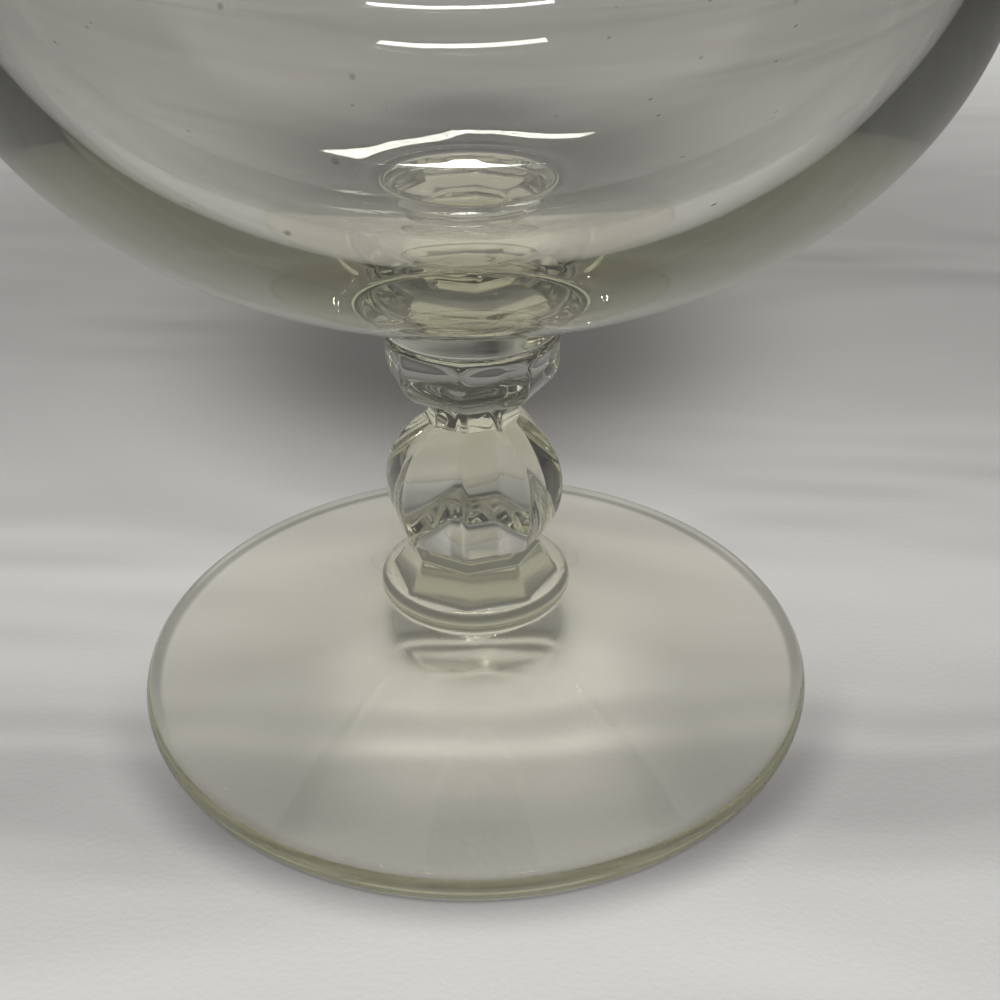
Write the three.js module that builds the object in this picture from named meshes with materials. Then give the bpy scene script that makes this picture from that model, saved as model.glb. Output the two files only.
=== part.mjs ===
// Pressed-glass goblet: a round bowl, a panelled stem and a disc foot, fused hot at two flat welds.
// Millimetres, +Z up. The origin is the centre of the ring that the foot stands on.
import * as THREE from "three";

// Driving dimensions: the whole goblet
const GOBLET_HEIGHT = 138;
const FOOT_RADIUS = 39;
const BELLY_RADIUS = 47.4;
const MOUTH_RADIUS = 37.5;
const FOOT_WELD_Z = 10.9;
const BOWL_WELD_Z = 43.2;

// Foot: a thin disc with a full-round edge that sweeps up to the stem
const FOOT_EDGE = 3.4;
const FOOT_HUB_RADIUS = 10.2;
const FOOT_SWEEP_REACH = 0.62;
const FOOT_SWEEP_RISE = 0.86;
const STANDING_RING_OUTER = 36.4;
const STANDING_RING_INNER = 27;
const UNDERSIDE_HOLLOW = 0.9;

// Stem: eight flat panels from the collar down to the base bead
const PANELS = 8;
const CORNER_ROUNDING = 0.985;
const BEAD_RADIUS = 10.95;
const BEAD_HEIGHT = 2.7;
const BASE_TOP_RADIUS = 7.5;
const BASE_TOP_Z = 17.1;
const BASE_FOOT_RADIUS = 9.6;
const BASE_HOLLOW = 0.35;
const GROOVE_RADIUS = 6.4;
const GROOVE_LEDGE = 0.55;
const KNOP_RADIUS = 10.05;
const KNOP_Z = 24.5;
const KNOP_BOTTOM_Z = 19.4;
const NECK_RADIUS = 5.1;
const NECK_Z = 34.6;
const NECK_TOP_Z = 36;
const COLLAR_RADIUS = 9.4;
const COLLAR_BELLY_Z = 40;
const COLLAR_SHOULDER = 1.5;
const WELD_BEVEL = 0.5;

// Bowl: ellipse arcs up to the belly and a sweep that closes in to the lip, thick below, thin above
const BELLY_Z = 82;
const BOWL_BOTTOM_Z = 47.1;
const INNER_BOTTOM_Z = 52.9;
const INNER_BELLY_RADIUS = 45;
const INNER_BELLY_Z = 85;
const LIP_THICKNESS = 1.9;
const LIP_LEAN = 0.25;
const BUTTON_FILLET = 1.3;

// Facets
const AROUND = 64;
const SHELL_STEPS = 11;
const WALL_STEPS = 7;
const ROUND_STEPS = 5;
const PANEL_POINTS = [-22.5, -20.4, -11, 0, 11, 20.4];

const radians = THREE.MathUtils.degToRad;

// Points on an ellipse arc in the (radius, height) plane, both ends included.
function arc(centre, halfWidth, halfHeight, fromDegrees, toDegrees, steps) {
  const points = [];
  for (let i = 0; i <= steps; i++) {
    const angle = radians(fromDegrees + ((toDegrees - fromDegrees) * i) / steps);
    points.push(
      new THREE.Vector2(
        centre.x + halfWidth * Math.cos(angle),
        centre.y + halfHeight * Math.sin(angle),
      ),
    );
  }
  return points;
}

const at = (radius, height) => new THREE.Vector2(radius, height);

// A solid of revolution about Z from a profile that starts and ends on the axis.
function turned(profile) {
  return new THREE.LatheGeometry(profile, AROUND).rotateX(Math.PI / 2);
}

// The wall above the belly: upright where it leaves the belly, leaning in by LIP_LEAN at the lip.
function closingWall(belly, lip) {
  const rise = lip.y - belly.y;
  return new THREE.CubicBezierCurve(
    belly,
    at(belly.x, belly.y + rise / 4),
    at(lip.x + (LIP_LEAN * rise) / 3, lip.y - rise / 3),
    lip,
  );
}

// Angle in degrees at which an ellipse of that half width reaches a radius.
const reachAngle = (halfWidth, radius) => THREE.MathUtils.radToDeg(Math.acos(radius / halfWidth));

function bowlGeometry() {
  const buttonRadius = COLLAR_RADIUS;
  const lipRadius = LIP_THICKNESS / 2;
  const lipZ = GOBLET_HEIGHT - lipRadius;
  const belly = at(0, BELLY_Z);
  const innerBelly = at(0, INNER_BELLY_Z);
  const lowerHalf = BELLY_Z - BOWL_BOTTOM_Z;
  const innerLowerHalf = INNER_BELLY_Z - INNER_BOTTOM_Z;
  const outerWall = closingWall(at(BELLY_RADIUS, BELLY_Z), at(MOUTH_RADIUS, lipZ));
  const innerWall = closingWall(
    at(INNER_BELLY_RADIUS, INNER_BELLY_Z),
    at(MOUTH_RADIUS - LIP_THICKNESS, lipZ),
  );
  const lipCentre = at(MOUTH_RADIUS - lipRadius, lipZ);
  const filletEnd = buttonRadius + 2 * BUTTON_FILLET;
  const outerStart = -reachAngle(BELLY_RADIUS, filletEnd);
  const filletTop = BELLY_Z + lowerHalf * Math.sin(radians(outerStart));
  const filletCurve = new THREE.QuadraticBezierCurve(
    at(buttonRadius, filletTop - BUTTON_FILLET),
    at(buttonRadius, filletTop),
    at(filletEnd, filletTop),
  );
  return turned([
    at(0, BOWL_WELD_Z),
    at(buttonRadius - WELD_BEVEL, BOWL_WELD_Z),
    at(buttonRadius, BOWL_WELD_Z + WELD_BEVEL),
    ...filletCurve.getPoints(ROUND_STEPS).slice(0, -1),
    ...arc(belly, BELLY_RADIUS, lowerHalf, outerStart, 0, SHELL_STEPS),
    ...outerWall.getPoints(WALL_STEPS).slice(1),
    ...arc(lipCentre, lipRadius, lipRadius, 0, 180, ROUND_STEPS).slice(1, -1),
    ...innerWall.getPoints(WALL_STEPS).reverse(),
    ...arc(innerBelly, INNER_BELLY_RADIUS, innerLowerHalf, 0, -90, SHELL_STEPS).slice(1, -1),
    at(0, INNER_BOTTOM_Z),
  ]);
}

function footGeometry() {
  const edge = FOOT_EDGE / 2;
  const edgeCentre = at(FOOT_RADIUS - edge, edge);
  const topReach = FOOT_RADIUS - edge - FOOT_HUB_RADIUS;
  const topRise = FOOT_WELD_Z - FOOT_EDGE;
  const sweep = new THREE.QuadraticBezierCurve(
    at(FOOT_RADIUS - edge, FOOT_EDGE),
    at(edgeCentre.x - FOOT_SWEEP_REACH * topReach, FOOT_EDGE + (1 - FOOT_SWEEP_RISE) * topRise),
    at(FOOT_HUB_RADIUS, FOOT_WELD_Z),
  );
  const hollow = new THREE.QuadraticBezierCurve(
    at(0, UNDERSIDE_HOLLOW),
    at(STANDING_RING_INNER / 2, UNDERSIDE_HOLLOW),
    at(STANDING_RING_INNER, 0),
  );
  return turned([
    ...hollow.getPoints(ROUND_STEPS),
    at(STANDING_RING_OUTER, 0),
    ...arc(edgeCentre, edge, edge, -90, 90, 2 * ROUND_STEPS).slice(1, -1),
    ...sweep.getPoints(SHELL_STEPS),
    at(0, FOOT_WELD_Z),
  ]);
}

// Stem profile as stations: a corner radius, a height, and how far the section is panelled
// (0 is round, 1 is flat panels).
function stemStations() {
  const beadHalf = BEAD_HEIGHT / 2;
  const beadCentre = at(BEAD_RADIUS - beadHalf, FOOT_WELD_Z + beadHalf);
  const baseZ = FOOT_WELD_Z + BEAD_HEIGHT;
  const baseMiddle = (BASE_FOOT_RADIUS + BASE_TOP_RADIUS) / 2;
  const baseCurve = new THREE.QuadraticBezierCurve(
    at(BASE_FOOT_RADIUS, baseZ),
    at(baseMiddle - BASE_HOLLOW, (baseZ + BASE_TOP_Z) / 2),
    at(BASE_TOP_RADIUS, BASE_TOP_Z),
  );
  const groove = [
    at(GROOVE_RADIUS, BASE_TOP_Z + GROOVE_LEDGE),
    at(GROOVE_RADIUS, KNOP_BOTTOM_Z - GROOVE_LEDGE),
  ];
  const knopCentre = at(0, KNOP_Z);
  const knopBottom = THREE.MathUtils.radToDeg(Math.asin((KNOP_BOTTOM_Z - KNOP_Z) / KNOP_RADIUS));
  const knopTop = reachAngle(KNOP_RADIUS, NECK_RADIUS);
  const knop = arc(knopCentre, KNOP_RADIUS, KNOP_RADIUS, knopBottom, knopTop, SHELL_STEPS);
  const cupCentre = at(NECK_RADIUS, COLLAR_BELLY_Z);
  const cupWidth = COLLAR_RADIUS - NECK_RADIUS;
  const cupDepth = COLLAR_BELLY_Z - NECK_TOP_Z;
  const runs = [
    { panel: 0, points: arc(beadCentre, beadHalf, beadHalf, -90, 75, 2 * ROUND_STEPS) },
    { panel: 1, points: baseCurve.getPoints(ROUND_STEPS) },
    { panel: 1, points: groove },
    { panel: 1, points: knop },
    { panel: 1, points: [at(NECK_RADIUS, NECK_Z)] },
    { panel: 1, points: arc(cupCentre, cupWidth, cupDepth, -90, 0, WALL_STEPS) },
    { panel: 1, points: [at(COLLAR_RADIUS, BOWL_WELD_Z - COLLAR_SHOULDER)] },
    { panel: 0, points: [at(COLLAR_RADIUS, BOWL_WELD_Z - WELD_BEVEL)] },
    { panel: 0, points: [at(COLLAR_RADIUS - WELD_BEVEL, BOWL_WELD_Z)] },
  ];
  return runs.flatMap(({ panel, points }) =>
    points.map((point) => ({ radius: point.x, height: point.y, panel })),
  );
}

// Radius of the panelled section, as a share of its corner radius, at an angle from mid-panel.
function panelShare(fromMiddle) {
  return Math.min(CORNER_ROUNDING, Math.cos(Math.PI / PANELS) / Math.cos(fromMiddle));
}

// The stem is lofted ring to ring, because its section changes from round to eight-sided and back.
function stemGeometry() {
  const stations = stemStations();
  const sectors = PANELS * PANEL_POINTS.length;
  const positions = [];
  for (const { radius, height, panel } of stations) {
    for (let side = 0; side < PANELS; side++) {
      for (const offset of PANEL_POINTS) {
        const angle = radians((side + 0.5) * (360 / PANELS) + offset - 90);
        const share = 1 - panel * (1 - panelShare(radians(offset)));
        positions.push(radius * share * Math.cos(angle), radius * share * Math.sin(angle), height);
      }
    }
  }
  const bottomCentre = positions.length / 3;
  positions.push(0, 0, stations[0].height);
  const topCentre = bottomCentre + 1;
  positions.push(0, 0, stations[stations.length - 1].height);

  const faces = [];
  const lastRing = (stations.length - 1) * sectors;
  for (let i = 0; i < sectors; i++) {
    const next = (i + 1) % sectors;
    faces.push(bottomCentre, next, i);
    faces.push(topCentre, lastRing + i, lastRing + next);
    for (let ring = 0; ring < lastRing; ring += sectors) {
      faces.push(ring + i, ring + next, ring + sectors + next);
      faces.push(ring + i, ring + sectors + next, ring + sectors + i);
    }
  }
  const geometry = new THREE.BufferGeometry();
  geometry.setAttribute("position", new THREE.Float32BufferAttribute(positions, 3));
  geometry.setIndex(faces);
  geometry.computeVertexNormals();
  return geometry;
}

// Clear soda-lime glass with a faint yellow-green body colour.
function glass(color) {
  return new THREE.MeshStandardMaterial({
    color,
    roughness: 0.04,
    metalness: 0,
    transparent: true,
    opacity: 0.35,
  });
}

const goblet = new THREE.Group();
for (const [name, geometry, color] of [
  ["bowl", bowlGeometry(), 0xd9dccb],
  ["stem", stemGeometry(), 0xcfd3bd],
  ["foot", footGeometry(), 0xd6d7c2],
]) {
  const mesh = new THREE.Mesh(geometry, glass(color));
  mesh.name = name;
  goblet.add(mesh);
}

export default goblet;
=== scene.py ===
# %% [markdown]
# A clear glass goblet stands on pale table linen. The real one is three gathers of soda-lime glass: a
# bowl, a stem pressed with eight panels, and a foot, fused to each other while hot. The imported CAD
# model is the fixed frame. Its solids are faceted, and glass shows every facet, so each one gets a
# smooth piece of the same shape that stands in its place.

# %% Load the frame
import math

import bmesh
import bpy
from mathutils import Matrix, Vector


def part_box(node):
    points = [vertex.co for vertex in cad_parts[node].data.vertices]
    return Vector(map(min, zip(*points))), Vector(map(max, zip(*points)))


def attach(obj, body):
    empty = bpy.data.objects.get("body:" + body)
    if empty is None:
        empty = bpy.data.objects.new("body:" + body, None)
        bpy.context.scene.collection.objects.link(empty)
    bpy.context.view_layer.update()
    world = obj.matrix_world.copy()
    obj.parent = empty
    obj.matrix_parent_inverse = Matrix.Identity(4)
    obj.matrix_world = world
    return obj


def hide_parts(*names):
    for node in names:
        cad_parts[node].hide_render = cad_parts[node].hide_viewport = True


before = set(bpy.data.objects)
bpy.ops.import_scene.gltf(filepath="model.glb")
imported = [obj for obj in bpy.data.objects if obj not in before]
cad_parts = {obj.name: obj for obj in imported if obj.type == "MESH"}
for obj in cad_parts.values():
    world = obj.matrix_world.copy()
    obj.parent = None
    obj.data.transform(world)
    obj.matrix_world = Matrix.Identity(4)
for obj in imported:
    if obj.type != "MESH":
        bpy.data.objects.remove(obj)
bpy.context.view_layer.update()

print("CAD nodes:", sorted(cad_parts))

# %% [markdown]
# Every height that the pieces share comes from the frame: where the foot meets the stem, where the stem
# meets the bowl, and the radii of the foot and the belly. The shapes are drawn in millimetres, as a
# glass mould is, and turned into Blender's metres only when a mesh is made.

# %% Shared heights and radii
MM = 0.001
foot_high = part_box("foot")[1]
bowl_low, bowl_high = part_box("bowl")
FOOT_RADIUS = foot_high[0] / MM
FOOT_WELD_Z = foot_high[2] / MM
BOWL_WELD_Z = bowl_low[2] / MM
BELLY_RADIUS = bowl_high[0] / MM
GOBLET_HEIGHT = bowl_high[2] / MM
print(f"foot {2 * FOOT_RADIUS:.1f} mm wide, welds at {FOOT_WELD_Z:.1f} and {BOWL_WELD_Z:.1f} mm,"
      f" belly {2 * BELLY_RADIUS:.1f} mm wide, {GOBLET_HEIGHT:.1f} mm tall")

# %% [markdown]
# A turned form is drawn as half of its outline, a list of (radius, height) points. Straight runs,
# ellipse arcs and Bezier curves are enough for all of this goblet. Hot glass has no sharp corners, so
# one helper rounds every corner of an outline by a small radius, as fire polishing does.

# %% Outline helpers
SHARP_TURN = 20


def arc(centre, half_width, half_height, start, end, steps):
    """Points on an ellipse arc from one angle to another, in degrees, both ends included."""
    angles = [math.radians(start + (end - start) * i / steps) for i in range(steps + 1)]
    return [(centre[0] + half_width * math.cos(a), centre[1] + half_height * math.sin(a)) for a in angles]


def bezier(points, steps):
    """Points on a Bezier curve of any degree, both ends included."""
    curve = []
    for i in range(steps + 1):
        level = [Vector(p) for p in points]
        while len(level) > 1:
            level = [a.lerp(b, i / steps) for a, b in zip(level, level[1:])]
        curve.append(tuple(level[0]))
    return curve


def fire_polished(outline, radius, steps=4):
    """The outline with each corner that turns sharply swapped for a small curve."""
    points = [Vector(p) for p in outline]
    smooth = [points[0]]
    for before, corner, after in zip(points, points[1:], points[2:]):
        inward, outward = before - corner, after - corner
        if inward.length < 1e-6 or outward.length < 1e-6:
            continue
        if 180 - math.degrees(inward.angle(outward)) < SHARP_TURN:
            smooth.append(corner)
            continue
        start = corner + inward * min(radius / inward.length, 0.45)
        end = corner + outward * min(radius / outward.length, 0.45)
        smooth += [Vector(p) for p in bezier([start, corner, end], steps)]
    return [tuple(p) for p in smooth + [points[-1]]]


# %% [markdown]
# A mesh is made from rings of points, one ring for each height. Quads join ring to ring, and a fan
# closes the two ends on the axis. The faces where two pieces are fused carry an attribute named weld,
# because light crosses fused glass there without bending. Each piece stops a hundredth of a millimetre
# short of the weld plane, so that the two skins never lie in the same place.

# %% Mesh helpers
WELD_GAP = 0.01


def piece_from_rings(name, rings, bottom, top, weld_faces):
    """A closed, smooth mesh through rings of (x, y, z) points in millimetres, on the CAD body root."""
    around = len(rings[0])
    points = [p for ring in rings for p in ring] + [(0, 0, bottom), (0, 0, top)]
    low_end, high_end = len(points) - 2, len(points) - 1
    last = (len(rings) - 1) * around
    faces = []
    for i in range(around):
        j = (i + 1) % around
        faces += [(low_end, j, i), (high_end, last + i, last + j)]
        faces += [(r + i, r + j, r + around + j, r + around + i) for r in range(0, last, around)]
    mesh = bpy.data.meshes.new(name)
    mesh.from_pydata([(x * MM, y * MM, z * MM) for x, y, z in points], [], faces)
    mesh.shade_smooth()
    weld = mesh.attributes.new("weld", "FLOAT", "FACE")
    for face, value in zip(mesh.polygons, weld.data):
        x, y, z = face.center / MM
        value.value = float(weld_faces(math.hypot(x, y), z))
    piece = bpy.data.objects.new(name, mesh)
    bpy.context.collection.objects.link(piece)
    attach(piece, "root")
    solid = bmesh.new()
    solid.from_mesh(mesh)
    print(f"{name}: {len(mesh.polygons)} faces, {solid.calc_volume(signed=True) * 1e6:.1f} cm3 of glass")
    solid.free()
    return piece


def turned(name, outline, weld_faces, around=192):
    """A solid of revolution from an outline that starts and ends on the axis."""
    turns = [2 * math.pi * i / around for i in range(around)]
    rings = [[(r * math.cos(t), r * math.sin(t), z) for t in turns] for r, z in outline[1:-1]]
    return piece_from_rings(name, rings, outline[0][1], outline[-1][1], weld_faces)


# %% [markdown]
# The foot is a disc with a full-round edge. Its top sweeps up to a low hub under the stem, and its
# underside is hollowed a little inside a flat standing ring, so that it stands still on a table that
# isn't quite flat.

# %% Foot
FOOT_EDGE = 3.4
FOOT_HUB_RADIUS = 10.2
FOOT_SWEEP_REACH = 0.62
FOOT_SWEEP_RISE = 0.86
STANDING_RING_OUTER = 36.4
STANDING_RING_INNER = 27
UNDERSIDE_HOLLOW = 0.9
FOOT_POLISH = 0.4
BEAD_RADIUS = 10.95
BEAD_HEIGHT = 2.7

bead_foot_radius = BEAD_RADIUS - BEAD_HEIGHT / 2
edge = FOOT_EDGE / 2
edge_centre = (FOOT_RADIUS - edge, edge)
top_reach = edge_centre[0] - FOOT_HUB_RADIUS
foot_top = FOOT_WELD_Z - WELD_GAP
sweep_handle = (
    edge_centre[0] - FOOT_SWEEP_REACH * top_reach,
    FOOT_EDGE + (1 - FOOT_SWEEP_RISE) * (foot_top - FOOT_EDGE),
)
underside = bezier(
    [(0, UNDERSIDE_HOLLOW), (STANDING_RING_INNER / 2, UNDERSIDE_HOLLOW), (STANDING_RING_INNER, 0)], 12
)
foot_outline = (
    underside
    + [(STANDING_RING_OUTER, 0)]
    + arc(edge_centre, edge, edge, -90, 90, 24)[1:-1]
    + bezier([(edge_centre[0], FOOT_EDGE), sweep_handle, (FOOT_HUB_RADIUS, foot_top)], 40)
    + [(bead_foot_radius, foot_top), (0, foot_top)]
)
foot = turned(
    "foot_disc",
    fire_polished(foot_outline, FOOT_POLISH),
    lambda r, z: r < bead_foot_radius and z > FOOT_EDGE,
)
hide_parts("foot")

# %% [markdown]
# The stem is the piece that takes a mould: eight flat panels run from the collar over the neck, the
# ball knop and the groove down to a round bead. Its outline gives the radius of the panel corners, and
# each ring is an octagon with rounded corners, or a circle at the bead and the weld. The panel corners
# are what glitters, so each has seven points of its own.

# %% Stem outline
BASE_FOOT_RADIUS = 9.6
BASE_TOP_RADIUS = 7.5
BASE_TOP_Z = 17.1
BASE_HOLLOW = 0.35
GROOVE_RADIUS = 6.4
GROOVE_LEDGE = 0.55
KNOP_RADIUS = 10.05
KNOP_Z = 24.5
KNOP_BOTTOM_Z = 19.4
NECK_RADIUS = 5.1
NECK_Z = 34.6
NECK_TOP_Z = 36
NECK_STRAIGHT = 0.6
COLLAR_RADIUS = 9.4
COLLAR_BELLY_Z = 40
COLLAR_SHOULDER = 1.5
WELD_BEVEL = 0.5
MOULD_POLISH = 0.3

bead_half = BEAD_HEIGHT / 2
stem_foot = FOOT_WELD_Z + WELD_GAP
stem_top = BOWL_WELD_Z - WELD_GAP
base_z = FOOT_WELD_Z + BEAD_HEIGHT
base_middle = ((BASE_FOOT_RADIUS + BASE_TOP_RADIUS) / 2 - BASE_HOLLOW, (base_z + BASE_TOP_Z) / 2)
knop_bottom = math.degrees(math.asin((KNOP_BOTTOM_Z - KNOP_Z) / KNOP_RADIUS))
knop_top = math.degrees(math.acos(NECK_RADIUS / KNOP_RADIUS))
cup = (COLLAR_RADIUS - NECK_RADIUS, COLLAR_BELLY_Z - NECK_TOP_Z)

round_bead = arc((bead_foot_radius, FOOT_WELD_Z + bead_half), bead_half, bead_half - WELD_GAP, -90, 75, 18)
panelled_run = fire_polished(
    bezier([(BASE_FOOT_RADIUS, base_z), base_middle, (BASE_TOP_RADIUS, BASE_TOP_Z)], 12)
    + [(GROOVE_RADIUS, BASE_TOP_Z + GROOVE_LEDGE), (GROOVE_RADIUS, KNOP_BOTTOM_Z - GROOVE_LEDGE)]
    + arc((0, KNOP_Z), KNOP_RADIUS, KNOP_RADIUS, knop_bottom, knop_top, 36)
    + bezier([(NECK_RADIUS, NECK_Z - NECK_STRAIGHT), (NECK_RADIUS, NECK_Z), (NECK_RADIUS, NECK_TOP_Z)], 4)
    + arc((NECK_RADIUS, COLLAR_BELLY_Z), cup[0], cup[1], -90, 0, 24)[1:]
    + [(COLLAR_RADIUS, BOWL_WELD_Z - COLLAR_SHOULDER)],
    MOULD_POLISH,
)
weld_run = [(COLLAR_RADIUS, stem_top - WELD_BEVEL), (COLLAR_RADIUS - WELD_BEVEL, stem_top)]
print(f"stem outline: {len(round_bead) + len(panelled_run) + len(weld_run)} heights")

# %% [markdown]
# A panel is one side of the octagon, and where two panels meet, the fire has rounded the corner. A
# bevel on a plain octagonal prism would round it evenly, but the stem swells and narrows, so here each
# ring is worked out by angle: flat across the panel, then a small arc of its own at the corner.

# %% Stem rings
PANELS = 8
CORNER_ROUND = 0.12
CORNER_STEPS = 7
half_panel = math.pi / PANELS
corner_centre = (math.cos(half_panel) - CORNER_ROUND) / math.cos(half_panel)
flat_reach = math.atan(corner_centre * math.sin(half_panel) / math.cos(half_panel))


def panel_share(angle):
    """Radius of the rounded octagon, as a share of its corner radius, at an angle from mid-panel."""
    if abs(angle) <= flat_reach:
        return math.cos(half_panel) / math.cos(angle)
    off_corner = half_panel - abs(angle)
    across = corner_centre * math.sin(off_corner)
    return corner_centre * math.cos(off_corner) + math.sqrt(CORNER_ROUND ** 2 - across ** 2)


flat_angles = [flat_reach * s for s in (-1, -0.93, -0.6, -0.2, 0.2, 0.6, 0.93, 1)]
corner_width = 2 * (half_panel - flat_reach)
corner_angles = [flat_reach + corner_width * i / CORNER_STEPS for i in range(1, CORNER_STEPS)]


def stem_ring(radius, height, panelled):
    """One ring of the stem, an octagon with a corner on -Y, or a circle."""
    ring = []
    for side in range(PANELS):
        middle = (2 * side + 1) * half_panel - math.pi / 2
        for angle in flat_angles + corner_angles:
            from_middle = angle if angle <= half_panel else angle - 2 * half_panel
            share = panel_share(from_middle) if panelled else 1.0
            turn = middle + angle
            ring.append((radius * share * math.cos(turn), radius * share * math.sin(turn), height))
    return ring


stem_rings = [stem_ring(r, z, False) for r, z in round_bead]
stem_rings += [stem_ring(r, z, True) for r, z in panelled_run]
stem_rings += [stem_ring(r, z, False) for r, z in weld_run]
stem = piece_from_rings(
    "stem_panelled", stem_rings, stem_foot, stem_top,
    lambda r, z: abs(z - stem_foot) < WELD_GAP / 2 or abs(z - stem_top) < WELD_GAP / 2,
)
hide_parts("stem")

# %% [markdown]
# The bowl is a balloon. Below the belly, its outside and its inside are two ellipses that run closer
# together as they rise, which is what makes the bottom thick and the wall thin. Above the belly both
# sweep in to a round lip, and a short button under the bottom is the weld to the stem.

# %% Bowl
BELLY_Z = 82
BOWL_BOTTOM_Z = 47.1
INNER_BOTTOM_Z = 52.9
INNER_BELLY_RADIUS = 45
INNER_BELLY_Z = 85
MOUTH_RADIUS = 37.5
LIP_THICKNESS = 1.9
LIP_LEAN = 0.25
BUTTON_FILLET = 1.3


def closing_wall(radius, height, lip_radius, lip_z):
    """The wall above the belly: upright at the belly, leaning in at the lip."""
    rise = lip_z - height
    handles = [(radius, height + rise / 4), (lip_radius + LIP_LEAN * rise / 3, lip_z - rise / 3)]
    return bezier([(radius, height)] + handles + [(lip_radius, lip_z)], 30)


lip_round = LIP_THICKNESS / 2
lip_z = GOBLET_HEIGHT - lip_round
bowl_foot = BOWL_WELD_Z + WELD_GAP
fillet_end = COLLAR_RADIUS + 2 * BUTTON_FILLET
outer_start = -math.degrees(math.acos(fillet_end / BELLY_RADIUS))
lower_half = BELLY_Z - BOWL_BOTTOM_Z
fillet_z = BELLY_Z + lower_half * math.sin(math.radians(outer_start))
button = [(0, bowl_foot), (COLLAR_RADIUS - WELD_BEVEL, bowl_foot), (COLLAR_RADIUS, bowl_foot + WELD_BEVEL)]
button += bezier(
    [(COLLAR_RADIUS, fillet_z - BUTTON_FILLET), (COLLAR_RADIUS, fillet_z), (fillet_end, fillet_z)], 8
)[:-1]
outside = arc((0, BELLY_Z), BELLY_RADIUS, lower_half, outer_start, 0, 60)
outside += closing_wall(BELLY_RADIUS, BELLY_Z, MOUTH_RADIUS, lip_z)[1:]
lip = arc((MOUTH_RADIUS - lip_round, lip_z), lip_round, lip_round, 0, 180, 16)[1:-1]
inside = closing_wall(INNER_BELLY_RADIUS, INNER_BELLY_Z, MOUTH_RADIUS - LIP_THICKNESS, lip_z)[::-1]
inside += arc((0, INNER_BELLY_Z), INNER_BELLY_RADIUS, INNER_BELLY_Z - INNER_BOTTOM_Z, 0, -90, 60)[1:-1]
bowl = turned(
    "bowl_balloon",
    fire_polished(button + outside + lip + inside + [(0, INNER_BOTTOM_Z)], MOULD_POLISH),
    lambda r, z: z < bowl_foot + WELD_GAP / 2,
)
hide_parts("bowl")

# %% [markdown]
# Every material here is built from nodes. Five small helpers keep that short: one adds a node and sets
# or joins its inputs, one fades between two values, one adds or multiplies several values, and two make
# and place a node group. A group is a tool that several materials share, each with its own values, as
# one polishing wheel serves many glasses.

# %% Node helpers
def add(tree, kind, inputs, **settings):
    """A shader node, each input set to a value or joined to an output. Gives back its own outputs."""
    made = tree.nodes.new("ShaderNode" + kind)
    for name, value in settings.items():
        setattr(made, name, value)
    for key, value in inputs.items():
        if isinstance(value, bpy.types.NodeSocket):
            tree.links.new(value, made.inputs[key])
        else:
            made.inputs[key].default_value = value
    return made.outputs


def fade(tree, value, start, end, low=0.0, high=1.0):
    """A number that runs smoothly from low to high while the value runs from start to end."""
    steps = {0: value, 1: start, 2: end, 3: low, 4: high}
    return add(tree, "MapRange", steps, interpolation_type="SMOOTHSTEP")[0]


def total(tree, kind, *values):
    """The sum, the product or the like of several numbers."""
    result = values[0]
    for value in values[1:]:
        result = add(tree, "Math", {0: result, 1: value}, operation=kind)[0]
    return result


def new_group(name, inputs, output):
    """A node group with float inputs and one float output. Gives back its tree, its inputs and its end."""
    tree = bpy.data.node_groups.new(name, "ShaderNodeTree")
    for label, value in inputs.items():
        socket = tree.interface.new_socket(label, in_out="INPUT", socket_type="NodeSocketFloat")
        socket.default_value = value
    tree.interface.new_socket(output, in_out="OUTPUT", socket_type="NodeSocketFloat")
    end = tree.nodes.new("NodeGroupOutput").inputs[output]
    return tree, tree.nodes.new("NodeGroupInput").outputs, end


def use_group(tree, group, **inputs):
    """The one output of a group placed in a material, with this material's own values."""
    placed = tree.nodes.new("ShaderNodeGroup")
    placed.node_tree = group
    for label, value in inputs.items():
        placed.inputs[label].default_value = value
    return placed.outputs[0]


# %% [markdown]
# Pressed glass goes back into the fire to melt away the mould's marks. That leaves it bright but never
# quite true: broad soft waves stay in the skin, and a few seeds, which are tiny bubbles, come up to it.
# Both are finer than the faces of the mesh, so one group gives them as a height, and a Bump node turns
# the height into tilted reflections.

# %% Fire polish
SEED_CELLS = 150
SEED_SIZE = 0.055
SEED_HEIGHT = 0.35
CELLS_WITHOUT_SEED = 0.72
fire_polish, given, end = new_group("fire_polish", {"Wave size": 70, "Seeds": 1}, "Height")
spot = add(fire_polish, "TexCoord", {})["Object"]
noise = {"Vector": spot, "Scale": given["Wave size"], "Detail": 1.5, "Roughness": 0.4}
waves = add(fire_polish, "TexNoise", noise)["Fac"]
cells = add(fire_polish, "TexVoronoi", {"Vector": spot, "Scale": SEED_CELLS, "Randomness": 1})
dot = fade(fire_polish, cells["Distance"], 0.0, SEED_SIZE, SEED_HEIGHT, 0.0)
few = total(fire_polish, "GREATER_THAN", cells["Color"], CELLS_WITHOUT_SEED)
seed = total(fire_polish, "MULTIPLY", dot, few, given["Seeds"])
fire_polish.links.new(total(fire_polish, "ADD", seed, waves), end)
print(f"{fire_polish.name}: {len(fire_polish.nodes)} nodes")

# %% [markdown]
# A glass that is used keeps traces of hands and cloths. A film of grease is too thin to see as colour,
# but it scatters a little light, so it belongs in the roughness: soft patches, broken up by the fine
# streaks of a drying cloth.

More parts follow.
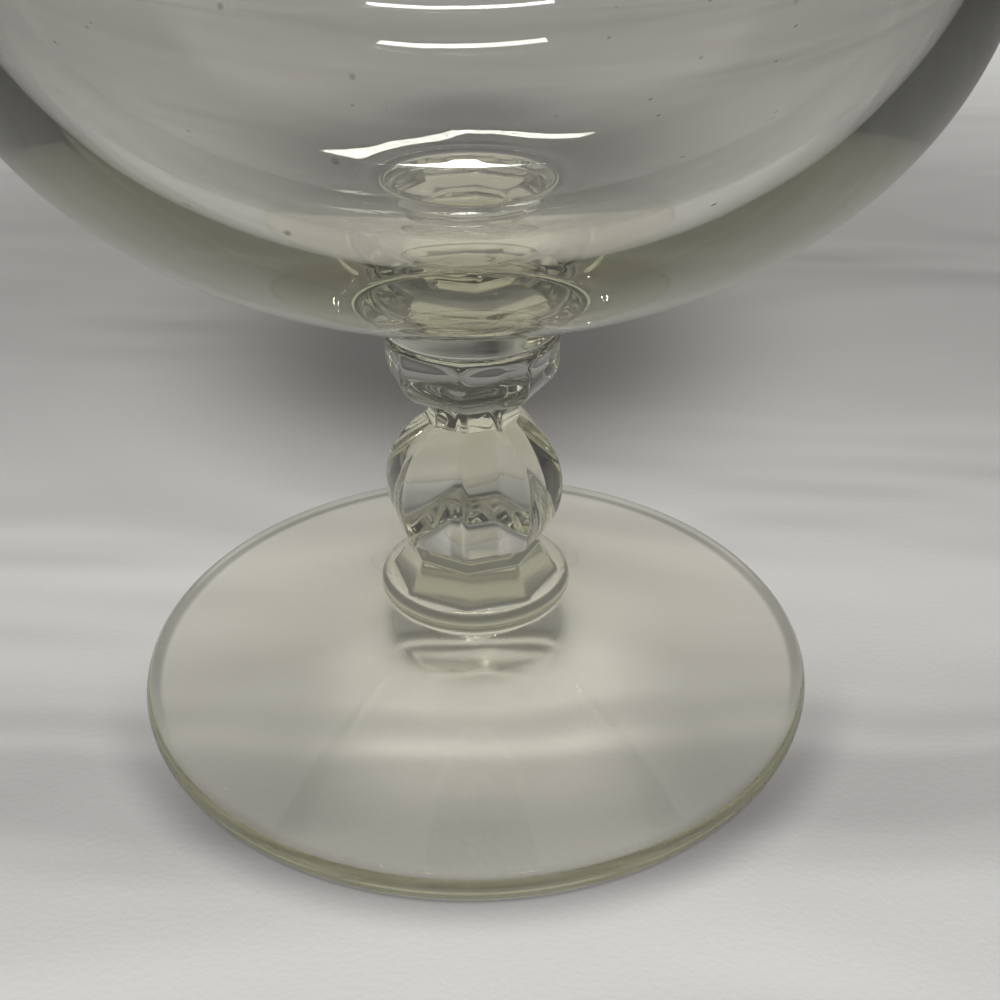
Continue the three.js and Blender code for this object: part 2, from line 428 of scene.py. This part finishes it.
# %% Handling marks
handling_marks, given, end = new_group("handling_marks", {"Patch size": 45, "Amount": 0.05}, "Roughness")
spot = add(handling_marks, "TexCoord", {})["Object"]
noise = {"Vector": spot, "Scale": given["Patch size"], "Detail": 3}
patches = add(handling_marks, "TexNoise", noise)["Fac"]
long_way = add(handling_marks, "Mapping", {"Vector": spot, "Scale": (1, 1, 6)})
streaks = add(handling_marks, "TexNoise", {"Vector": long_way[0], "Scale": 260, "Detail": 2})["Fac"]
film = total(handling_marks, "MULTIPLY", fade(handling_marks, patches, 0.5, 0.72), streaks, given["Amount"])
handling_marks.links.new(film, end)
print(f"{handling_marks.name}: {len(handling_marks.nodes)} nodes")

# %% [markdown]
# Dust settles on glass within minutes. Seen through the glass each grain is a grey speck, which holds
# light back, so the group gives a mask of small grains, and the material darkens its base colour there.

# %% Dust
GRAIN_CORE, GRAIN_EDGE = 0.04, 0.075
CELLS_WITHOUT_GRAIN = 0.55
dust, given, end = new_group("dust", {"Grains": 220, "Amount": 1}, "Mask")
spot = add(dust, "TexCoord", {})["Object"]
cells = add(dust, "TexVoronoi", {"Vector": spot, "Scale": given["Grains"], "Randomness": 1})
grain = add(dust, "MapRange", {0: cells["Distance"], 1: GRAIN_CORE, 2: GRAIN_EDGE, 3: 1.0, 4: 0.0})
few = total(dust, "GREATER_THAN", cells["Color"], CELLS_WITHOUT_GRAIN)
dust.links.new(total(dust, "MULTIPLY", grain[0], few, given["Amount"]), end)
print(f"{dust.name}: {len(dust.nodes)} nodes")

# %% [markdown]
# The skin of the glass bends light at 1.52, as soda-lime glass does, but not on the weld faces, so that
# two fused gathers read as one. The three groups give it waves, a film and dust. The foot's underside
# is scuffed by years on tables, so it is rougher there than anywhere else. The film could be a second
# shader on top, but roughness alone shows it and renders faster.

# %% Glass skin
GLASS_IOR = 1.52
CLEARNESS = 0.993
DUST_COLOUR = (0.3, 0.29, 0.26, 1)
SCUFFED_BELOW = 1.0
SCUFFED_UNTIL = 1.6
SCUFFED_ROUGHNESS = 0.1


def glass_skin(tree, height, tint, waves, wave_height, film, grains):
    """Set a material's own shader up as the skin of one piece of glass. Gives back the shader."""
    shader = tree.nodes["Principled BSDF"]
    shader.inputs["Transmission Weight"].default_value = CLEARNESS
    weld = add(tree, "Attribute", {}, attribute_name="weld")["Fac"]
    bend = add(tree, "MapRange", {"Value": weld, "To Min": GLASS_IOR, "To Max": 1.0})
    tree.links.new(bend[0], shader.inputs["IOR"])
    relief = use_group(tree, fire_polish, **{"Wave size": waves, "Seeds": 1})
    bump = add(tree, "Bump", {"Height": relief, "Strength": 1, "Distance": wave_height * MM})
    tree.links.new(bump[0], shader.inputs["Normal"])
    scuffed = fade(tree, height, SCUFFED_BELOW * MM, SCUFFED_UNTIL * MM, SCUFFED_ROUGHNESS, 0.0)
    rough = total(tree, "MAXIMUM", use_group(tree, handling_marks, Amount=film), scuffed)
    tree.links.new(rough, shader.inputs["Roughness"])
    specks = use_group(tree, dust, Amount=grains)
    tone = add(tree, "Mix", {0: specks, 6: tint, 7: DUST_COLOUR}, data_type="RGBA")
    tree.links.new(tone[2], shader.inputs["Base Color"])
    return shader


# %% [markdown]
# Traces of iron give such glass its yellow-green, so the colour is an absorption in its volume: pale
# where the glass is thin, olive where a long path runs through a rim. Bent shadow light takes very long
# to gather, so shadow rays and the floor's own rays pass straight through instead, a little dimmed. The
# bowl's thick bottom dims them much more, which throws the dark patch behind the stem.

# %% Glass body
IRON_TINT = (0.53, 0.53, 0.20, 1)
IRON_DENSITY = 10
THICK_BELOW = 52
THIN_ABOVE = 64


def glass(piece, name, tint, waves, wave_height, film, grains, thick, thin):
    """Clear glass for one piece, with its own tint, waves, handling film and dust.

    The last two values are the share of shadow light that goes straight on through one skin, where the
    bowl's glass is thick and where it is thin.
    """
    material = bpy.data.materials.new(name)
    material.use_nodes = True
    tree = material.node_tree
    end = tree.nodes["Material Output"]
    height = add(tree, "SeparateXYZ", {0: add(tree, "TexCoord", {})["Object"]})["Z"]
    skin = glass_skin(tree, height, tint + (1,), waves, wave_height, film, grains)
    rays = add(tree, "LightPath", {})
    straight = total(tree, "MAXIMUM", rays["Is Shadow Ray"], rays["Is Diffuse Ray"])
    steps = {0: height, 1: THICK_BELOW * MM, 2: THIN_ABOVE * MM, 3: thick, 4: thin}
    through = add(tree, "BsdfTransparent", {"Color": add(tree, "MapRange", steps)[0]})
    surface = add(tree, "MixShader", {0: straight, 1: skin.outputs[0], 2: through[0]})
    tree.links.new(surface[0], end.inputs["Surface"])
    body = add(tree, "VolumeAbsorption", {"Color": IRON_TINT, "Density": IRON_DENSITY})
    tree.links.new(body[0], end.inputs["Volume"])
    piece.data.materials.append(material)
    print(f"{name}: {len(tree.nodes)} nodes")


glass(bowl, "bowl_glass", tint=(0.99, 0.985, 0.965), waves=55, wave_height=0.03, film=0.05, grains=1.0,
      thick=0.14, thin=0.985)
glass(stem, "stem_glass", tint=(0.99, 0.985, 0.97), waves=120, wave_height=0.015, film=0.03, grains=0.2,
      thick=0.98, thin=0.98)
glass(foot, "foot_glass", tint=(0.975, 0.965, 0.905), waves=70, wave_height=0.05, film=0.06, grains=0.15,
      thick=0.98, thin=0.98)

# %% [markdown]
# The camera looks from where the photo was taken. Its place was solved from the outline of the foot,
# which is a circle of known size. Two directions come out of it, away from the camera and aside, and the
# folds of the linen and the lamps are laid out along them.

# %% Camera
CAMERA_TURN = 6.6
CAMERA_AWAY = 121.75
CAMERA_UP = 94.28
CAMERA_YAW = 1.367 - CAMERA_TURN
CAMERA_PITCH = 30.667
CAMERA_ROLL = 0.288
LENS_LENGTH = 45
SENSOR_WIDTH = 36
turn, yaw, pitch, roll = (math.radians(a) for a in (CAMERA_TURN, CAMERA_YAW, CAMERA_PITCH, CAMERA_ROLL))
away = Vector((-math.sin(turn), math.cos(turn), 0))
aside = Vector((math.cos(turn), math.sin(turn), 0))
eye = (Vector((0, 0, CAMERA_UP)) - away * CAMERA_AWAY) * MM
forward = Vector((math.sin(yaw) * math.cos(pitch), math.cos(yaw) * math.cos(pitch), -math.sin(pitch)))
level = Vector((math.cos(yaw), -math.sin(yaw), 0))
down = forward.cross(level)
right = level * math.cos(roll) + down * math.sin(roll)
up = level * math.sin(roll) - down * math.cos(roll)
lens = bpy.data.cameras.new("camera")
lens.lens, lens.sensor_width = LENS_LENGTH, SENSOR_WIDTH
lens.clip_start = 0.01
camera = bpy.data.objects.new("camera", lens)
camera.matrix_world = Matrix.Translation(eye) @ Matrix((right, up, -forward)).transposed().to_4x4()
bpy.context.collection.objects.link(camera)
bpy.context.scene.camera = camera
print(f"camera {eye.length / MM:.0f} mm from the goblet's foot")

# %% [markdown]
# The goblet stands on pale table linen, a flat disc that ends far behind it. What shows through the
# bowl has to be as pale as what shows beside it, and for that one helper marks the rays that came
# straight on through both walls, by the skins they crossed and the mirrorings they made. Rays that the
# thick glass turned aside stay out of it, because a pale floor all round would fill the stem with white
# flashes.

# %% Linen floor
FLOOR_RADIUS = 2.0
FLOOR_DROP = 0.05
BOTH_WALLS = 4


def straight_on(tree):
    """A mask of the rays that came straight on through both walls of the bowl, without a mirroring."""
    rays = add(tree, "LightPath", {})
    crossed = fade(tree, rays["Transmission Depth"], BOTH_WALLS - 1, BOTH_WALLS)
    unmirrored = fade(tree, rays["Glossy Depth"], 0, 1, 1.0, 0.0)
    return total(tree, "MULTIPLY", crossed, unmirrored, rays["Is Transmission Ray"])


mesh = bpy.data.meshes.new("linen")
disc = bmesh.new()
bmesh.ops.create_circle(disc, cap_ends=True, radius=FLOOR_RADIUS, segments=96)
disc.to_mesh(mesh)
disc.free()
linen = bpy.data.objects.new("linen_floor", mesh)
linen.location.z = -FLOOR_DROP * MM
bpy.context.collection.objects.link(linen)
cloth = bpy.data.materials.new("linen")
cloth.use_nodes = True
mesh.materials.append(cloth)
print(f"linen: {2 * FLOOR_RADIUS:.1f} m across")

# %% [markdown]
# A cloth that was folded away keeps soft, broad folds, and the foot stands across some of them, so its
# clear glass shows their light and shade as streaks. They could be modelled, but shade this soft needs
# no shape, so it is painted shade: a colour ramp along the line of sight, as pairs of a place in
# millimetres behind the stem and a shade, and a little noise keeps the folds from running dead straight.

# %% Linen folds, painted shade
FOLD_SHADES = [(-60, 0.75), (-42, 0.88), (-36, 0.87), (-31, 0.76), (-26, 0.66), (-19, 0.67), (-15.6, 0.79),
         (-12.5, 0.73), (-8, 0.845), (3, 1.0), (20, 1.0), (60, 0.96)]
FOLD_WANDER = 3
tree = cloth.node_tree
spot = add(tree, "TexCoord", {})["Object"]
back = add(tree, "VectorMath", {0: spot, 1: tuple(away)}, operation="DOT_PRODUCT")["Value"]
noise = add(tree, "TexNoise", {"Vector": spot, "Scale": 14, "Detail": 2})["Fac"]
wander = fade(tree, noise, 0.3, 0.7, -FOLD_WANDER * MM, FOLD_WANDER * MM)
line = total(tree, "ADD", back, wander)
first, last = FOLD_SHADES[0][0], FOLD_SHADES[-1][0]
along = add(tree, "MapRange", {0: line, 1: first * MM, 2: last * MM})[0]
# painted shade of the linen's folds, read off the colour ramp
fold_shade = add(tree, "ValToRGB", {0: along})[0]
ramp = fold_shade.node.color_ramp
ramp.interpolation = "EASE"
for i, (place, shade) in enumerate(FOLD_SHADES):
    stop = ramp.elements[0] if i == 0 else ramp.elements.new((place - first) / (last - first))
    stop.color = (shade, shade, shade, 1)
ramp.elements.remove(ramp.elements[-1])
print(f"linen folds: {len(ramp.elements)} shades over {last - first} mm")

# %% [markdown]
# Glass throws faint shadows of its own. The foot's round edge leaves a thin dark line all round and a
# soft shade in front. Through the bowl the linen looks dimmer close to the foot, and where the stem's
# shadow falls. To render that light would mean to follow it through every bend, so each shadow is a soft
# ring or spot of shade, most of them measured out from the foot's own radius.

# %% Linen shadows
EDGE_SHADE = 0.5
BOWL_SHADE = 0.5
STEM_SHADE = 0.58
STEM_SHADOW_BACK = 124
STEM_SHADOW_RADIUS = 26
CONTACT_SHADE = 0.4
rays = add(tree, "LightPath", {})
reach = add(tree, "VectorMath", {0: spot}, operation="LENGTH")["Value"]
wide = add(tree, "Mapping", {"Vector": spot, "Scale": (0.93, 1, 1)})
ring = add(tree, "VectorMath", {0: wide[0]}, operation="LENGTH")["Value"]
shadow = {0: spot, 1: tuple(away * STEM_SHADOW_BACK * MM)}
from_shadow = add(tree, "VectorMath", shadow, operation="DISTANCE")["Value"]
through_bowl = fade(tree, rays["Transmission Depth"], BOTH_WALLS - 1, BOTH_WALLS)


def past_foot(value, start, end, low=0.0, high=1.0):
    """A fade between two distances from the foot's edge, in millimetres."""
    return fade(tree, value, (FOOT_RADIUS + start) * MM, (FOOT_RADIUS + end) * MM, low, high)


edge_shade = total(tree, "MULTIPLY", past_foot(reach, -2, 0), past_foot(ring, -2, 4, 1.0, 0.0),
                   fade(tree, back, 0.0, -30 * MM, 0.0, EDGE_SHADE))
bowl_shade = total(tree, "MULTIPLY", through_bowl, past_foot(reach, -1, 4),
                   past_foot(reach, 16, 76, BOWL_SHADE, 0.0))
stem_shade = total(tree, "MULTIPLY", through_bowl,
                   fade(tree, from_shadow, 4 * MM, STEM_SHADOW_RADIUS * MM, STEM_SHADE, 0.0))
contact = total(tree, "MULTIPLY", past_foot(reach, -2.1, -1.3),
                past_foot(reach, -0.9, -0.4, CONTACT_SHADE, 0.0),
                fade(tree, rays["Transmission Depth"], 2, 3, 1.0, 0.0),
                fade(tree, rays["Glossy Depth"], 0, 1, 1.0, 0.0))
shades = (edge_shade, bowl_shade, stem_shade, contact)
lit = [total(tree, "SUBTRACT", 1.0, shade) for shade in shades]
print(f"linen shadows: {len(lit)} around the foot")

# %% [markdown]
# A goblet also gathers light, as a lens does. A pale pool runs forward from the stem on the linen under
# the foot, with a bright and a dark ripple across it, and fades out before the foot's edge. Blender can
# trace such light, but it is slow and grainy through glass, so the pool is a few fades times each other.

# %% Linen pool of light
POOL_LIGHT, POOL_RIM = 0.42, -0.14
POOL_ASIDE = 2
POOL_CORE, POOL_REACH = 6, 23
RIPPLES = [(-15.5, 0.24), (-11, -0.14)]
RIPPLE_HALF_WIDTH = 2.4
DIM_IN_FRONT, BRIGHT_BEHIND = 0.76, 1.12
side = add(tree, "VectorMath", {0: spot, 1: tuple(aside)}, operation="DOT_PRODUCT")["Value"]
side = add(tree, "Math", {0: total(tree, "SUBTRACT", side, POOL_ASIDE * MM)}, operation="ABSOLUTE")[0]
pool = total(tree, "MULTIPLY", fade(tree, side, POOL_CORE * MM, POOL_REACH * MM, POOL_LIGHT, POOL_RIM),
             fade(tree, back, -34 * MM, -22 * MM), fade(tree, back, 12 * MM, -12 * MM))
for place, strength in RIPPLES:
    off = add(tree, "Math", {0: total(tree, "SUBTRACT", line, place * MM)}, operation="ABSOLUTE")[0]
    ripple = total(tree, "MULTIPLY", fade(tree, off, 0.3 * MM, RIPPLE_HALF_WIDTH * MM, strength, 0.0),
                   fade(tree, side, 8 * MM, 22 * MM, 1.0, 0.0))
    pool = total(tree, "ADD", pool, ripple)
# Under the foot the linen is also painted dimmer towards the front and brighter behind.
gathered = total(tree, "MULTIPLY", fade(tree, back, -30 * MM, -6 * MM, DIM_IN_FRONT, BRIGHT_BEHIND),
                 total(tree, "ADD", 1.0, pool))
under_foot = add(tree, "Mix", {0: past_foot(reach, -1, 0), 2: gathered, 3: 1.0})[0]
# all painted shade and light of the linen: the fold shade, the pool under the foot and the glass shadows
shade = total(tree, "MULTIPLY", fold_shade, under_foot, *lit)
print(f"linen pool: {len(RIPPLES)} ripples")

# %% [markdown]
# Threads and slack creases are heights, so two Bump nodes carry them, the fine one over the broad one.
# The colour is an uneven off-white, times the painted shade and light from above. Far out, where the lamps
# no longer reach, a weak emission keeps the linen pale for the camera and for the straight rays only, so
# that it lights nothing else.

# %% Linen cloth
LINEN_DULL = (0.72, 0.708, 0.683, 1)
LINEN_PALE = (0.79, 0.778, 0.757, 1)
CREASE_DEPTH = 6
THREAD_DEPTH = 0.12
FAR_LIGHT = 0.55
shader = tree.nodes["Principled BSDF"]
shader.inputs["Roughness"].default_value = 0.9
uneven = add(tree, "TexNoise", {"Vector": spot, "Scale": 9, "Detail": 3})["Fac"]
tone = add(tree, "Mix", {0: uneven, 6: LINEN_DULL, 7: LINEN_PALE}, data_type="RGBA")[2]
tone = add(tree, "Mix", {0: 1.0, 6: tone, 7: shade}, data_type="RGBA", blend_type="MULTIPLY")[2]
slack = add(tree, "Mapping", {"Vector": spot, "Scale": (7, 16, 1), "Rotation": (0, 0, 0.35)})
creases = add(tree, "TexNoise", {"Vector": slack[0], "Scale": 1, "Detail": 2, "Distortion": 0.6})["Fac"]
bump = add(tree, "Bump", {"Height": creases, "Strength": 1, "Distance": CREASE_DEPTH * MM})
threads = add(tree, "TexNoise", {"Vector": spot, "Scale": 1500, "Detail": 2})["Fac"]
weave = {"Height": threads, "Strength": 0.3, "Distance": THREAD_DEPTH * MM, "Normal": bump[0]}
bump = add(tree, "Bump", weave)
tree.links.new(tone, shader.inputs["Base Color"])
tree.links.new(bump[0], shader.inputs["Normal"])
tree.links.new(tone, shader.inputs["Emission Color"])
seen = total(tree, "MAXIMUM", straight_on(tree), rays["Is Camera Ray"])
far_light = total(tree, "MULTIPLY", fade(tree, reach, 0.13, 0.45, 0.0, FAR_LIGHT), seen)
tree.links.new(far_light, shader.inputs["Emission Strength"])
print(f"linen: {len(tree.nodes)} nodes")

# %% [markdown]
# Glass shows its lights more than itself. An area lamp is placed here by its two ends, because what
# counts is the line that it draws in the glass. A lamp that is there for such a line alone is tied to
# the bowl by light linking, and a test on the ray keeps it from drawing the same line twice: thin glass
# mirrors every lamp in four skins.

# %% Lamp helpers
AIM_HEIGHT = 0.05


def lamp(name, start, end, width, brightness):
    """An area lamp between two points, each to the side of the goblet, behind it and above it, in metres.

    Its brightness is in watts for each square metre of lamp.
    """
    start, end = (aside * p[0] + away * p[1] + Vector((0, 0, p[2])) for p in (start, end))
    place, across = (start + end) / 2, (end - start).normalized()
    look = Vector((0, 0, AIM_HEIGHT)) - place
    look = (look - across * look.dot(across)).normalized()
    light = bpy.data.lights.new(name, "AREA")
    light.shape = "RECTANGLE"
    light.size, light.size_y = (end - start).length, width
    light.energy = brightness * light.size * width
    holder = bpy.data.objects.new(name, light)
    axes = Matrix((across, -across.cross(look), -look))
    holder.matrix_world = Matrix.Translation(place) @ axes.transposed().to_4x4()
    holder.visible_camera = False
    bpy.context.collection.objects.link(holder)
    print(f"{name}: {light.size:.3f} m long, {light.energy:.3f} W, {place.length:.2f} m away")
    return holder


strip_lit = bpy.data.collections.new("strip_lit")
strip_lit.objects.link(bowl)


def bowl_only(holder, value, kind, limit):
    """Let a lamp show in the bowl's glass alone, on rays whose Light Path value is past a limit."""
    holder.light_linking.receiver_collection = strip_lit
    holder.data.use_nodes = True
    nodes = holder.data.node_tree
    shown = total(nodes, kind, add(nodes, "LightPath", {})[value], limit)
    nodes.links.new(shown, nodes.nodes["Emission"].inputs["Strength"])


# %% [markdown]
# A thin strip overhead draws the two short lines high in the bowl. An arch of four tubes behind it
# draws the long bent line, and a narrow slit below the arch draws the spot over the stem. One soft lamp
# in front lights the linen and throws the bowl's shadow behind the stem, and it is hidden from the
# glass, which would show it as a white patch.

# %% Lamps
BEHIND = 0.32
OVERHEAD_REACH = 0.194
overhead = lamp("strip_overhead", (-0.036, 0.033, 0.25), (0.040, 0.036, 0.25), 0.0055, 80)
bowl_only(overhead, "Ray Length", "LESS_THAN", OVERHEAD_REACH)
ARCH = [(0.031, 0.214), (0.030, 0.345), (0.005, 0.4275), (-0.019, 0.4135), (-0.055, 0.326)]
for i, (low, high) in enumerate(zip(ARCH, ARCH[1:])):
    tube = lamp(f"arch_{i}", (low[0], BEHIND, low[1]), (high[0], BEHIND, high[1]), 0.012, 77)
    bowl_only(tube, "Transmission Depth", "GREATER_THAN", 5)
slit = lamp("slit_behind", (0.0, BEHIND, 0.156), (0.0, BEHIND, 0.18), 0.001, 80)
bowl_only(slit, "Transmission Depth", "GREATER_THAN", 1)
front_light = lamp("front_light", (-0.05, -0.27, 0.22), (0.05, -0.27, 0.22), 0.06, 210)
front_light.visible_glossy = False
front_light.visible_transmission = False

# %% [markdown]
# The rest of the room decides what the thick parts of the glass show, because they turn their light
# through large angles. Its walls are dark on the camera's side and paler behind and low down, and the
# light of a tall window behind comes out under the stem. A picture of a room could stand here, but a
# few fades are easier to read and to change. The camera and the straight rays see a plain pale backdrop
# instead.

# %% Room
BACKDROP = 0.6
WALL_DARK, WALL_PALE = 0.03, 0.16
LOW_WALL = 0.07
WINDOW = 0.5
WINDOW_SILL, WINDOW_HEAD = (0.57, 0.68), (0.85, 0.92)
WINDOW_IN_BOWL = 0.15
room = bpy.data.worlds.new("room")
bpy.context.scene.world = room
room.use_nodes = True
tree = room.node_tree
ray = add(tree, "TexCoord", {})["Generated"]
behind = add(tree, "VectorMath", {0: ray, 1: tuple(away)}, operation="DOT_PRODUCT")["Value"]
height = add(tree, "SeparateXYZ", {0: ray})["Z"]
walls = total(tree, "MULTIPLY", fade(tree, behind, -0.5, 0.35, WALL_DARK, WALL_PALE),
              fade(tree, height, 0.55, 0.9, 1.0, 0.5))
low_wall = fade(tree, height, 0.02, 0.3, LOW_WALL, 0.0)
rays = add(tree, "LightPath", {})
in_bowl = total(tree, "MULTIPLY", rays["Is Reflection Ray"], fade(tree, rays["Transmission Depth"], 1, 2))
window = total(tree, "MULTIPLY", fade(tree, height, *WINDOW_SILL, 0.0, WINDOW),
               fade(tree, height, *WINDOW_HEAD, 1.0, 0.0), fade(tree, behind, 0.2, 0.45),
               fade(tree, in_bowl, 0, 1, 1.0, WINDOW_IN_BOWL))
plain = total(tree, "MULTIPLY", straight_on(tree), fade(tree, height, 0.2, 0.35, 1.0, 0.0))
plain = total(tree, "MAXIMUM", plain, rays["Is Camera Ray"])
glow = add(tree, "Mix", {0: plain, 2: total(tree, "ADD", walls, low_wall, window), 3: BACKDROP})
tree.links.new(glow[0], tree.nodes["Background"].inputs["Strength"])
tree.nodes["Background"].inputs["Color"].default_value = (1.0, 0.985, 0.96, 1)
print(f"room: {len(tree.nodes)} nodes")

# %% [markdown]
# Light crosses a goblet through many skins, so the paths may bend and mirror more often than Blender's
# own settings allow. Light that glass throws onto the linen is painted above, so the slow search for it
# is switched off, and the view is the plain one, in which a colour shows as it is written.

# %% Light paths and view
scene = bpy.context.scene
scene.view_settings.view_transform = "Standard"
scene.cycles.caustics_refractive = False
scene.cycles.caustics_reflective = False
scene.cycles.blur_glossy = 0
scene.cycles.sample_clamp_indirect = 0
scene.cycles.max_bounces = 24
scene.cycles.transmission_bounces = 24
scene.cycles.glossy_bounces = 16
scene.cycles.transparent_max_bounces = 32
print(f"light paths: up to {scene.cycles.max_bounces} bounces")
